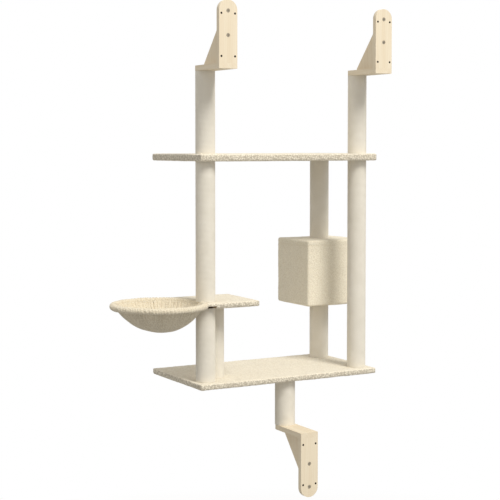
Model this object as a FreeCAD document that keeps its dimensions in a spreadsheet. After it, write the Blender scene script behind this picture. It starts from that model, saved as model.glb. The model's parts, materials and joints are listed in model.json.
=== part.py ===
# Wall mounted cat tree: posts and plush platforms hung on three wall brackets, with a condo and a
# round hammock. Lengths are in millimetres. X runs along the wall, to the right as seen from the
# room. The wall's face is the plane Y = 0 and the room lies at negative Y. Z is up. The origin is
# the centre of the lower bracket's four wall holes, on the wall's face.
import FreeCAD, Part
import math
import os
import re
import Sketcher

SIZES = [
    ("post_spacing", 638, "between the axes of the right and left posts"),
    ("lower_post_shift", 7, "lower post's axis from the middle of the row towards the left post"),
    ("post_row_distance", 170, "from the wall to the axes of the right, left and lower posts"),
    ("condo_post_offset", 262, "from that row out to the axis of the condo posts"),
    ("inner_post_inset", 68, "from the right post in to the inner post, along the wall"),
    ("inner_post_offset", 67, "from the post row out to the inner post"),
    ("main_post_diameter", 70, "right and left posts, over the wrap"),
    ("stout_post_diameter", 74, "condo, inner and lower posts, over the wrap"),
    ("wrap_thickness", 3, "rope wrap round a post's core"),
    ("core_wall", 3, "cardboard tube's wall"),
    ("plug_thickness", 22, "wooden plug in each end of a core"),
    ("lower_post_length", 165, "lower bracket to bottom platform"),
    ("level_spacing", 776, "bottom platform's top to top platform's underside"),
    ("upper_post_length", 290, "top platform to upper brackets"),
    ("middle_rise", 262, "bottom platform's top to middle platform's underside"),
    ("condo_rise", 217, "bottom platform's top to condo's underside"),
    ("side_margin", 49, "post axis to a platform's side edge"),
    ("wall_margin", 61, "post row to the platforms' edge on the wall side"),
    ("room_margin", 74, "condo post axis to the platforms' edge on the room side"),
    ("top_thickness", 25, "top platform over its plush"),
    ("bottom_thickness", 21, "bottom platform over its plush"),
    ("middle_thickness", 20, "middle platform over its plush"),
    ("middle_length", 236, "middle platform along the wall"),
    ("middle_depth", 242, "middle platform out from the wall"),
    ("plush_thickness", 3, "plush over boards and condo"),
    ("platform_corner", 6, "radius of a platform's corners, over the plush"),
    ("platform_edge", 4, "rounding of a platform's plush edges"),
    ("bracket_width", 70, "width of the pine wall plates and bracket boards"),
    ("plate_thickness", 18, "pine wall plate"),
    ("plate_length", 213, "wall plate, from the bracket board to its round end"),
    ("board_thickness", 18, "pine bracket board"),
    ("gusset_thickness", 18, "pine gusset"),
    ("gusset_toe_gap", 10, "post axis back to the gusset's toe"),
    ("gusset_toe_height", 6, "upright end of the gusset on the board"),
    ("gusset_nose_depth", 14, "gusset's upper end, out from the wall plate"),
    ("gusset_shoulder", 155, "where the slope meets the nose, above the board"),
    ("gusset_height", 190, "top of the gusset's nose, above the board"),
    ("hole_spacing_across", 52, "wall holes, centre to centre along the wall"),
    ("hole_spacing_along", 144, "wall holes, centre to centre up the plate"),
    ("hole_end_distance", 46, "plate's round end to the nearer holes"),
    ("wall_hole_diameter", 5.6, "wall holes"),
    ("screw_end_distance", 37, "plate's round end to the outer gusset screw"),
    ("screw_spacing", 82.5, "between the two gusset screws"),
    ("screw_diameter", 5, "gusset screw's shank"),
    ("screw_head_diameter", 13, "gusset screw's head"),
    ("screw_head_height", 3.5, "gusset screw's head"),
    ("screw_recess", 4, "depth of the gusset screws' seats in the plate"),
    ("screw_bite", 10, "gusset screw's reach into the gusset"),
    ("cross_width", 1.6, "arms of the cross recess in a screw head"),
    ("cross_length", 7, "cross recess in a screw head, tip to tip"),
    ("cross_depth", 1.8, "cross recess in a screw head"),
    ("dowel_diameter", 8, "dowels that join a bracket's pieces"),
    ("dowel_length", 30, "dowels that join a bracket's pieces"),
    ("dowel_spacing", 36, "between the two dowels of a wall plate"),
    ("bolt_diameter", 8, "bolts and studs between posts and boards"),
    ("bolt_head_diameter", 16, "flat bolt head"),
    ("bolt_head_height", 3.5, "flat bolt head"),
    ("bolt_recess", 4, "depth of a sunk bolt head's seat"),
    ("bolt_bite", 18, "bolt or stud's reach into a post's end"),
    ("socket_width", 5, "hexagon socket in a bolt head, across the corners"),
    ("socket_depth", 2.2, "hexagon socket in a bolt head"),
    ("insert_diameter", 12, "threaded insert in a plug"),
    ("hole_clearance", 0.5, "round a bolt or its head, on the radius"),
    ("thread_clearance", 0.05, "round a thread, on the radius"),
    ("ring_radius", 157, "hammock ring, to the middle of its wire"),
    ("ring_wire_diameter", 8, "hammock ring's steel wire"),
    ("ring_offset", 180, "right post's axis to the hammock's centre"),
    ("ring_drop", 5, "middle platform's top down to the ring"),
    ("rim_diameter", 20, "padded rim round the hammock ring"),
    ("rim_clearance", 1, "round the padded rim, in the platform's notch"),
    ("bowl_depth", 92, "hammock bowl's bottom below the ring"),
    ("bowl_thickness", 4, "hammock bowl's plush"),
    ("bowl_radius", 156, "hammock bowl's outside at the ring's level"),
    ("tab_thickness", 3, "steel tab that holds the hammock ring"),
    ("tab_width", 26, "steel tab that holds the hammock ring"),
    ("tab_tail", 12, "tab's end beyond the post's axis"),
    ("tab_overlap", 2, "tab's upright leg let into the ring's wire"),
    ("slot_depth", 10, "slot for the tab in the middle platform's underside, open at two sides"),
    ("slot_clearance", 1, "round the tab, in its slot"),
    ("spacer_diameter", 22, "spacer that fills the slot above the tab"),
    ("condo_width", 242, "condo along the wall, over its plush"),
    ("condo_depth", 226, "condo out from the wall, over its plush"),
    ("condo_height", 250, "condo, over its plush"),
    ("condo_edge", 8, "rounding of the condo's plush edges"),
    ("panel_thickness", 9, "condo's panels"),
    ("entrance_diameter", 160, "round entrance on the condo's room side"),
    ("panel_screw_diameter", 3, "condo's panel screws"),
    ("panel_screw_head", 6, "diameter of a panel screw's head"),
    ("panel_screw_seat", 2, "height of a panel screw's head"),
    ("panel_screw_length", 28, "condo's panel screws"),
    ("panel_screw_inset", 40, "condo panel's corner to a screw, along its edge"),
]
ALIASES = {name for name, value, note in SIZES}

# Places, as formulas of the sizes.
RIGHT_X = "post_spacing / 2 + lower_post_shift"
LEFT_X = "lower_post_shift - post_spacing / 2"
INNER_X = RIGHT_X + " - inner_post_inset"
ROW_Y = "0 - post_row_distance"
CONDO_Y = "0 - post_row_distance - condo_post_offset"
INNER_Y = "0 - post_row_distance - inner_post_offset"
HOLES_TO_BOARD = "plate_length + board_thickness - hole_end_distance - hole_spacing_along / 2"
BOTTOM_UNDER = HOLES_TO_BOARD + " + lower_post_length"
BOTTOM_TOP = BOTTOM_UNDER + " + bottom_thickness"
MIDDLE_UNDER = BOTTOM_TOP + " + middle_rise"
MIDDLE_TOP = MIDDLE_UNDER + " + middle_thickness"
TOP_UNDER = BOTTOM_TOP + " + level_spacing"
TOP_TOP = TOP_UNDER + " + top_thickness"
UPPER_BRACKET = TOP_TOP + " + upper_post_length"
CONDO_UNDER = BOTTOM_TOP + " + condo_rise"
CONDO_TOP = CONDO_UNDER + " + condo_height"
RING_X = RIGHT_X + " + ring_offset"
RING_Z = MIDDLE_TOP + " - ring_drop"
PLATFORM_LENGTH = "post_spacing + 2 * side_margin"
PLATFORM_DEPTH = "wall_margin + condo_post_offset + room_margin"
HEAD_SEAT = "plush_thickness + bolt_recess"

TURNS = {
    "up": ((0, 0, 1), 0),
    "down": ((1, 0, 0), 180),
    "room": ((1, 0, 0), 90),
    "over": ((0, 1, 0), 180),
    "about": ((0, 0, 1), 180),
}

doc = FreeCAD.newDocument("wall_cat_tree")
nodes = []


# ---------------------------------------------------------------- sizes and simple shapes

def fill_sheet():
    sheet = doc.addObject("Spreadsheet::Sheet", "Sizes")
    for row, (name, value, note) in enumerate(SIZES, 1):
        sheet.set(f"A{row}", name)
        sheet.set(f"B{row}", str(value))
        sheet.set(f"C{row}", note)
        sheet.setAlias(f"B{row}", name)
    doc.recompute()


def cell(formula):
    """The formula with each size's name turned into a reference to its cell."""
    def refer(match):
        word = match.group(0)
        return "Sizes." + word if word in ALIASES else word
    return re.sub(r"[a-z_]+", refer, formula)


def bind(item, **formulas):
    for field, formula in formulas.items():
        item.setExpression(field, cell(formula))


def present(item, formula):
    """What the formula comes to with the sheet as it is."""
    return float(item.evalExpression(cell(formula)))


def move(item, x="0", y="0", z="0", turn="up"):
    axis, angle = TURNS[turn]
    item.Placement = FreeCAD.Placement(FreeCAD.Vector(), FreeCAD.Rotation(FreeCAD.Vector(*axis), angle))
    for coordinate, formula in (("x", x), ("y", y), ("z", z)):
        item.setExpression("Placement.Base." + coordinate, cell(formula))
    return item


def block(name, x, y, z, wide, deep, high):
    """A box from its low corner."""
    item = doc.addObject("Part::Box", name)
    bind(item, Length=wide, Width=deep, Height=high)
    return move(item, x, y, z)


def rod(name, x, y, z, diameter, length, turn="up"):
    item = doc.addObject("Part::Cylinder", name)
    bind(item, Radius=f"({diameter}) / 2", Height=length)
    return move(item, x, y, z, turn)


def ring(name, x, y, z, radius, wire):
    item = doc.addObject("Part::Torus", name)
    bind(item, Radius1=radius, Radius2=f"({wire}) / 2")
    return move(item, x, y, z)


def ball(name, x, y, z, radius):
    item = doc.addObject("Part::Sphere", name)
    bind(item, Radius=radius)
    return move(item, x, y, z)


def group(name, items):
    item = doc.addObject("Part::Compound", name)
    item.Links = items
    return item


def cut(name, base, *tools):
    item = doc.addObject("Part::Cut", name)
    item.Base = base
    item.Tool = tools[0] if len(tools) == 1 else group(name + "_tools", list(tools))
    return item


def fuse(name, first, second):
    item = doc.addObject("Part::Fuse", name)
    item.Base = first
    item.Tool = second
    return item


def node(item, name):
    item.Label = name
    nodes.append(item)
    return item


# ---------------------------------------------------------------- sketched shapes

def sketch_on(body, role, name):
    plane = [item for item in body.Origin.OriginFeatures if item.Role == role][0]
    sketch = body.newObject("Sketcher::SketchObject", name)
    sketch.AttachmentSupport = (plane, [""])
    sketch.MapMode = "FlatFace"
    return sketch


def draw_polygon(sketch, corners):
    """A closed outline through corners, each given as two formulas."""
    count = len(corners)
    points = [FreeCAD.Vector(present(sketch, x), present(sketch, y), 0) for x, y in corners]
    for index in range(count):
        sketch.addGeometry(Part.LineSegment(points[index], points[(index + 1) % count]), False)
    for index in range(count):
        sketch.addConstraint(Sketcher.Constraint("Coincident", index, 2, (index + 1) % count, 1))
    for index, (across, along) in enumerate(corners):
        for kind, axis, formula in (("DistanceX", -2, across), ("DistanceY", -1, along)):
            if formula == "0":
                sketch.addConstraint(Sketcher.Constraint("PointOnObject", index, 1, axis))
                continue
            start = points[index].x if kind == "DistanceX" else points[index].y
            number = sketch.addConstraint(Sketcher.Constraint(kind, -1, 1, index, 1, start))
            sketch.setExpression(f"Constraints[{number}]", cell(formula))


def pad(body, sketch, length):
    feature = body.newObject("PartDesign::Pad", body.Name + "_pad")
    feature.Profile = sketch
    bind(feature, Length=length)
    doc.recompute()
    return feature


def round_ended(name, plane, length, thickness):
    """A board as wide as a bracket with one square end at its origin and one half-round end."""
    body = doc.addObject("PartDesign::Body", name)
    sketch = sketch_on(body, plane, name + "_outline")
    half = present(sketch, "bracket_width / 2")
    straight = present(sketch, length + " - bracket_width / 2")
    foot_left, foot_right = FreeCAD.Vector(-half, 0, 0), FreeCAD.Vector(half, 0, 0)
    end_left, end_right = FreeCAD.Vector(-half, straight, 0), FreeCAD.Vector(half, straight, 0)
    circle = Part.Circle(FreeCAD.Vector(0, straight, 0), FreeCAD.Vector(0, 0, 1), half)
    for line in (Part.LineSegment(foot_left, foot_right), Part.LineSegment(foot_right, end_right),
                 Part.ArcOfCircle(circle, 0, math.pi), Part.LineSegment(end_left, foot_left)):
        sketch.addGeometry(line, False)
    for rule in (("Coincident", 0, 2, 1, 1), ("Tangent", 1, 2, 2, 1), ("Tangent", 2, 2, 3, 1),
                 ("Coincident", 3, 2, 0, 1), ("Horizontal", 0), ("Vertical", 1), ("Vertical", 3),
                 ("Symmetric", 0, 1, 0, 2, -1, 1)):
        sketch.addConstraint(Sketcher.Constraint(*rule))
    width = sketch.addConstraint(Sketcher.Constraint("DistanceX", 0, 1, 0, 2, 2 * half))
    sketch.setExpression(f"Constraints[{width}]", cell("bracket_width"))
    reach = sketch.addConstraint(Sketcher.Constraint("DistanceY", -1, 1, 2, 3, straight))
    sketch.setExpression(f"Constraints[{reach}]", cell(length + " - bracket_width / 2"))
    pad(body, sketch, thickness)
    return body


def slab(name, wide, deep, high, corner, edge=None):
    """A board from its low corner, with round upright corners and, if edge is given, soft edges."""
    body = doc.addObject("PartDesign::Body", name)
    sketch = sketch_on(body, "XY_Plane", name + "_outline")
    draw_polygon(sketch, [("0", "0"), (wide, "0"), (wide, deep), ("0", deep)])
    base = pad(body, sketch, high)
    corners = body.newObject("PartDesign::Fillet", name + "_corners")
    corners.Base = (base, edges_where(base.Shape, is_upright))
    bind(corners, Radius=corner)
    doc.recompute()
    if edge:
        rims = body.newObject("PartDesign::Fillet", name + "_rims")
        rims.Base = (corners, edges_where(corners.Shape, is_level))
        bind(rims, Radius=edge)
        doc.recompute()
    return body


def edges_where(shape, test):
    return [f"Edge{number}" for number, edge in enumerate(shape.Edges, 1) if test(edge)]


def is_upright(edge):
    return edge.BoundBox.ZLength > 1 and edge.BoundBox.XLength < 0.1 and edge.BoundBox.YLength < 0.1


def is_level(edge):
    return edge.BoundBox.ZLength < 0.1


# ---------------------------------------------------------------- fasteners

def bolt(name, x, y, seat, grip, way):
    """A flat-headed bolt whose head rests on seat and whose shank goes way through grip."""
    back = "down" if way == "up" else "up"
    head = rod(name + "_head", x, y, seat, "bolt_head_diameter", "bolt_head_height", back)
    shank = rod(name + "_shank", x, y, seat, "bolt_diameter", grip + " + bolt_bite", way)
    socket = doc.addObject("Part::Prism", name + "_socket")
    socket.Polygon = 6
    bind(socket, Circumradius="socket_width / 2", Height="bolt_head_height")
    sign = "-" if way == "up" else "+"
    floor = f"{seat} {sign} (bolt_head_height - socket_depth)"
    move(socket, x, y, floor, back)
    return cut(name, fuse(name + "_blank", head, shank), socket)


def shank_hole(name, x, y, seat, grip, way):
    return rod(name, x, y, seat, "bolt_diameter + 2 * hole_clearance", grip, way)


def head_hole(name, x, y, seat, depth, way):
    back = "down" if way == "up" else "up"
    return rod(name, x, y, seat, "bolt_head_diameter + 2 * hole_clearance", depth, back)


def stud(name, x, y, under, grip):
    """A stud from the post below a board to the post above it."""
    return rod(name, x, y, under + " - bolt_bite", "bolt_diameter", grip + " + 2 * bolt_bite")


# ---------------------------------------------------------------- brackets

def gusset_blank(name):
    body = doc.addObject("PartDesign::Body", name + "_blank")
    sketch = sketch_on(body, "YZ_Plane", name + "_outline")
    toe = "post_row_distance - gusset_toe_gap"
    nose = "plate_thickness + gusset_nose_depth"
    foot = "board_thickness"
    draw_polygon(sketch, [
        ("plate_thickness", foot), (toe, foot), (toe, foot + " + gusset_toe_height"),
        (nose, foot + " + gusset_shoulder"), (nose, foot + " + gusset_height"),
        ("plate_thickness", foot + " + gusset_height")])
    pad(body, sketch, "gusset_thickness")
    return move(body, "gusset_thickness / 2", "0", "0", "about")


def gusset_screw(name, height):
    """A countersunk screw through the wall plate into the gusset, with a cross recess."""
    face = "0 - screw_recess + screw_head_height"
    head = rod(name + "_head", "0", face, height, "screw_head_diameter", "screw_head_height", "room")
    length = "plate_thickness - screw_recess + screw_bite"
    shank = rod(name + "_shank", "0", "0 - screw_recess", height, "screw_diameter", length, "room")
    arms = [block(f"{name}_{label}", f"0 - ({wide}) / 2", face + " - cross_depth",
                  f"{height} - ({high}) / 2", wide, "cross_depth", high)
            for label, wide, high in (("across", "cross_length", "cross_width"),
                                      ("along", "cross_width", "cross_length"))]
    return cut(name, fuse(name + "_blank", head, shank), *arms)


def bracket(side, x, z, turn):
    """One bracket, made with its board at the bottom and its post below, then turned and moved."""
    def settle(item):
        return move(item, x, "0", z, turn)

    rise = "board_thickness + plate_length"
    heights = [f"{rise} - screw_end_distance", f"{rise} - screw_end_distance - screw_spacing"]
    screws = [gusset_screw(f"{side}_gusset_screw_{number}", height)
              for number, height in enumerate(heights, 1)]
    screw_holes = [rod(f"{side}_screw_hole_{number}", "0", "0", height,
                       "screw_diameter + 2 * thread_clearance",
                       "plate_thickness + screw_bite + 1", "room")
                   for number, height in enumerate(heights, 1)]
    screw_seats = [rod(f"{side}_screw_seat_{number}", "0", "0", height,
                       "screw_head_diameter + 2 * hole_clearance", "screw_recess", "room")
                   for number, height in enumerate(heights, 1)]
    wall_holes = [rod(f"{side}_wall_hole_{number}_{level}", f"{across} * hole_spacing_across / 2",
                      "0", f"{rise} - hole_end_distance - {level} * hole_spacing_along",
                      "wall_hole_diameter", "plate_thickness", "room")
                  for number, across in enumerate(("0 - 1", "1")) for level in (0, 1)]
    plate_dowels = [rod(f"{side}_plate_dowel_{number}", f"{across} * dowel_spacing / 2",
                        "0 - plate_thickness / 2", "board_thickness - dowel_length / 2",
                        "dowel_diameter", "dowel_length")
                    for number, across in enumerate(("0 - 1", "1"))]
    gusset_dowel = rod(f"{side}_gusset_dowel", "0", "0 - post_row_distance / 2",
                       "board_thickness - dowel_length / 2", "dowel_diameter", "dowel_length")
    seat = "board_thickness - bolt_recess"
    bolt_hole = shank_hole(f"{side}_bolt_hole", "0", ROW_Y, seat, seat, "down")
    bolt_seat = head_hole(f"{side}_bolt_seat", "0", ROW_Y, seat, "bolt_recess", "down")

    plate_blank = move(round_ended(side + "_plate_blank", "XZ_Plane", "plate_length",
                                   "plate_thickness"), z="board_thickness")
    plate = cut(side + "_plate", plate_blank, *screw_holes, *screw_seats, *wall_holes, *plate_dowels)
    board_blank = move(round_ended(side + "_board_blank", "XY_Plane",
                                   "post_row_distance + bracket_width / 2", "board_thickness"),
                       turn="about")
    board = cut(side + "_board", board_blank, bolt_hole, bolt_seat, *plate_dowels, gusset_dowel)
    gusset = cut(side + "_gusset_cut", gusset_blank(side + "_gusset"), *screw_holes, gusset_dowel)
    node(settle(plate), side + "_wall_plate")
    node(settle(board), side + "_bracket_board")
    node(settle(gusset), side + "_gusset")
    dowels = group(side + "_dowels", plate_dowels + [gusset_dowel])
    return [settle(screw) for screw in screws], settle(dowels)


def brackets():
    placed = [bracket("right", RIGHT_X, UPPER_BRACKET, "up"),
              bracket("left", LEFT_X, UPPER_BRACKET, "up"),
              bracket("lower", "0", HOLES_TO_BOARD, "over")]
    node(group("all_gusset_screws", [screw for screws, dowels in placed for screw in screws]),
         "gusset_screws")
    node(group("all_dowels", [dowels for screws, dowels in placed]), "bracket_dowels")


# ---------------------------------------------------------------- posts

POSTS = [
    ("right_upper_post", RIGHT_X, ROW_Y, TOP_TOP, "upper_post_length", "main_post_diameter"),
    ("right_middle_post", RIGHT_X, ROW_Y, MIDDLE_TOP,
     "level_spacing - middle_rise - middle_thickness", "main_post_diameter"),
    ("right_lower_post", RIGHT_X, ROW_Y, BOTTOM_TOP, "middle_rise", "main_post_diameter"),
    ("left_upper_post", LEFT_X, ROW_Y, TOP_TOP, "upper_post_length", "main_post_diameter"),
    ("left_long_post", LEFT_X, ROW_Y, BOTTOM_TOP, "level_spacing", "main_post_diameter"),
    ("condo_upper_post", LEFT_X, CONDO_Y, CONDO_TOP, "level_spacing - condo_rise - condo_height",
     "stout_post_diameter"),
    ("condo_lower_post", LEFT_X, CONDO_Y, BOTTOM_TOP, "condo_rise", "stout_post_diameter"),
    ("inner_post", INNER_X, INNER_Y, BOTTOM_TOP, "middle_rise", "stout_post_diameter"),
    ("lower_post", "0", ROW_Y, HOLES_TO_BOARD, "lower_post_length", "stout_post_diameter"),
]


def post(name, x, y, z, length, diameter):
    core_outside = diameter + " - 2 * wrap_thickness"
    core_inside = core_outside + " - 2 * core_wall"
    outside = rod(name + "_outside", x, y, z, diameter, length)
    middle = rod(name + "_middle", x, y, z, core_outside, length)
    inside = rod(name + "_inside", x, y, z, core_inside, length)
    node(cut(name + "_rope", outside, middle), name + "_wrap")
    node(cut(name + "_tube", middle, inside), name + "_core")
    plugs = []
    inserts = []
    for end, level in (("foot", z), ("head", f"{z} + {length} - plug_thickness")):
        plug = rod(f"{name}_{end}_blank", x, y, level, core_inside, "plug_thickness")
        sleeve = rod(f"{name}_{end}_sleeve", x, y, level, "insert_diameter", "plug_thickness")
        thread = rod(f"{name}_{end}_thread", x, y, level, "bolt_diameter + 2 * thread_clearance",
                     "plug_thickness")
        plugs.append(cut(f"{name}_{end}_plug", plug, sleeve))
        inserts.append(cut(f"{name}_{end}_insert", sleeve, thread))
    return plugs, inserts


def posts():
    made = [post(*line) for line in POSTS]
    node(group("all_plugs", [plug for plugs, inserts in made for plug in plugs]), "post_end_plugs")
    node(group("all_inserts", [insert for plugs, inserts in made for insert in inserts]),
         "threaded_inserts")


# ---------------------------------------------------------------- platforms

def holes_up(name, x, y, under, through):
    """A sunk bolt from a board's underside: the bolt, its shank hole and its head hole."""
    seat = f"{under} + {HEAD_SEAT}"
    grip = f"{through} - plush_thickness - bolt_recess"
    return (bolt(name + "_bolt", x, y, seat, grip, "up"),
            shank_hole(name + "_bolt_hole", x, y, seat, grip, "up"),
            head_hole(name + "_bolt_seat", x, y, seat, HEAD_SEAT, "up"))


def holes_down(name, x, y, top, through):
    """A bolt from a board's top, its head sunk under the plush."""
    seat = f"{top} - plush_thickness - bolt_recess"
    grip = f"{through} - plush_thickness - bolt_recess"
    return (bolt(name + "_bolt", x, y, seat, grip, "down"),
            shank_hole(name + "_bolt_hole", x, y, seat, grip, "down"),
            head_hole(name + "_bolt_seat", x, y, seat, "bolt_recess", "down"))


def make_platform(name, x, y, z, wide, deep, high, open_holes, hidden_seats, notches=()):
    """A plush covered board. open_holes go through board and plush, hidden_seats are in the board
    alone, and notches hold a cutter for the plush and a larger one for the board under it."""
    inner = [notches[1]] if notches else []
    outer = [notches[0]] if notches else []
    board_blank = move(slab(name + "_board_blank", wide + " - 2 * plush_thickness",
                            deep + " - 2 * plush_thickness", high + " - 2 * plush_thickness",
                            "platform_corner - plush_thickness"),
                       x + " + plush_thickness", y + " + plush_thickness", z + " + plush_thickness")
    core = cut(name + "_board_core", board_blank, *inner) if inner else board_blank
    cover_blank = move(slab(name + "_cover_blank", wide, deep, high, "platform_corner",
                            "platform_edge"), x, y, z)
    node(cut(name + "_board_cut", core, *open_holes, *hidden_seats), name + "_board")
    node(cut(name + "_cover_cut", cover_blank, core, *open_holes, *outer), name + "_plush")


def platforms():
    """The three platforms. Returns their bolts and studs."""
    low_x = LEFT_X + " - side_margin"
    low_y = "0 - post_row_distance + wall_margin - (" + PLATFORM_DEPTH + ")"
    bolts = []
    studs = []

    rising = [holes_up(name, x, y, BOTTOM_UNDER, "bottom_thickness") for name, x, y in (
        ("right_foot", RIGHT_X, ROW_Y), ("left_foot", LEFT_X, ROW_Y),
        ("condo_foot", LEFT_X, CONDO_Y), ("inner_foot", INNER_X, INNER_Y))]
    falling = holes_down("lower_head", "0", ROW_Y, BOTTOM_TOP, "bottom_thickness")
    make_platform("bottom", low_x, low_y, BOTTOM_UNDER, PLATFORM_LENGTH, PLATFORM_DEPTH,
                  "bottom_thickness",
                  [hole for made in rising for hole in made[1:]] + [falling[1]], [falling[2]])
    bolts += [made[0] for made in rising] + [falling[0]]

    falling = holes_down("condo_head", LEFT_X, CONDO_Y, TOP_TOP, "top_thickness")
    stud_holes = [shank_hole(f"{name}_top_stud_hole", x, ROW_Y, TOP_UNDER, "top_thickness", "up")
                  for name, x in (("right", RIGHT_X), ("left", LEFT_X))]
    make_platform("top", low_x, low_y, TOP_UNDER, PLATFORM_LENGTH, PLATFORM_DEPTH, "top_thickness",
                  stud_holes + [falling[1]], [falling[2]])
    bolts.append(falling[0])
    studs += [stud(f"{name}_top_stud", x, ROW_Y, TOP_UNDER, "top_thickness")
              for name, x in (("right", RIGHT_X), ("left", LEFT_X))]

    falling = holes_down("inner_head", INNER_X, INNER_Y, MIDDLE_TOP, "middle_thickness")
    stud_hole = shank_hole("middle_stud_hole", RIGHT_X, ROW_Y, MIDDLE_UNDER, "middle_thickness", "up")
    gap = "2 * ring_radius + rim_diameter + 2 * rim_clearance"
    notches = [rod("middle_notch_plush", RING_X, ROW_Y, MIDDLE_UNDER, gap, "middle_thickness"),
               rod("middle_notch_board", RING_X, ROW_Y, MIDDLE_UNDER, gap + " + 2 * plush_thickness",
                   "middle_thickness")]
    slot = block("middle_slot", RIGHT_X + " - tab_tail - slot_clearance",
                 ROW_Y + " - tab_width / 2 - slot_clearance", MIDDLE_UNDER,
                 "tab_tail + slot_clearance + side_margin",
                 "tab_width / 2 + slot_clearance + wall_margin", "slot_depth")
    make_platform("middle", RIGHT_X + " + side_margin - middle_length",
                  "0 - post_row_distance + wall_margin - middle_depth", MIDDLE_UNDER,
                  "middle_length", "middle_depth", "middle_thickness",
                  [stud_hole, falling[1], slot], [falling[2]], notches)
    bolts.append(falling[0])
    studs.append(stud("middle_stud", RIGHT_X, ROW_Y, MIDDLE_UNDER, "middle_thickness"))
    return bolts, studs


# ---------------------------------------------------------------- hammock

def hammock():
    wire = ring("ring_wire", RING_X, ROW_Y, RING_Z, "ring_radius", "ring_wire_diameter")
    node(wire, "hammock_ring")

    leg_x = RING_X + " - ring_radius - ring_wire_diameter / 2 + tab_overlap - tab_thickness"
    tab_y = "0 - post_row_distance - tab_width / 2"
    flat = block("tab_flat", RIGHT_X + " - tab_tail", tab_y, MIDDLE_UNDER,
                 f"{leg_x} + tab_thickness - ({RIGHT_X} - tab_tail)", "tab_width", "tab_thickness")
    leg = block("tab_leg", leg_x, tab_y, MIDDLE_UNDER, "tab_thickness", "tab_width",
                "middle_thickness - ring_drop")
    hole = shank_hole("tab_hole", RIGHT_X, ROW_Y, MIDDLE_UNDER, "slot_depth", "up")
    wire_space = ring("tab_wire_space", RING_X, ROW_Y, RING_Z, "ring_radius", "ring_wire_diameter")
    node(cut("tab_cut", fuse("tab_blank", flat, leg), hole, wire_space), "hammock_tab")
    spacer = rod("spacer_blank", RIGHT_X, ROW_Y, MIDDLE_UNDER + " + tab_thickness",
                 "spacer_diameter", "slot_depth - tab_thickness")
    node(cut("spacer_cut", spacer, hole), "hammock_spacer")

    roll = ring("rim_roll", RING_X, ROW_Y, RING_Z, "ring_radius", "rim_diameter")
    core = ring("rim_core", RING_X, ROW_Y, RING_Z, "ring_radius", "ring_wire_diameter")
    pressed = rod("rim_pressed", RIGHT_X, ROW_Y, MIDDLE_TOP + " - rim_clearance / 2",
                  "main_post_diameter + 2 * rim_clearance", "rim_diameter")
    slot = block("rim_slot", leg_x + " - rim_diameter", tab_y + " - rim_clearance",
                 RING_Z + " - rim_diameter", "rim_diameter + tab_thickness + rim_clearance",
                 "tab_width + 2 * rim_clearance", "rim_diameter + ring_wire_diameter / 2")
    node(cut("rim_cut", roll, core, pressed, slot), "hammock_rim")

    curve = "(bowl_radius ^ 2 + bowl_depth ^ 2) / (2 * bowl_depth)"
    centre = f"{RING_Z} - bowl_depth + {curve}"
    outside = ball("bowl_outside", RING_X, ROW_Y, centre, curve)
    inside = ball("bowl_inside", RING_X, ROW_Y, centre, curve + " - bowl_thickness")
    above = rod("bowl_above", RING_X, ROW_Y, RING_Z, "4 * bowl_radius", "4 * bowl_radius")
    roll_space = ring("bowl_roll_space", RING_X, ROW_Y, RING_Z, "ring_radius", "rim_diameter")
    node(cut("bowl_cut", outside, inside, above, roll_space), "hammock_bowl")


# ---------------------------------------------------------------- condo

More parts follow.
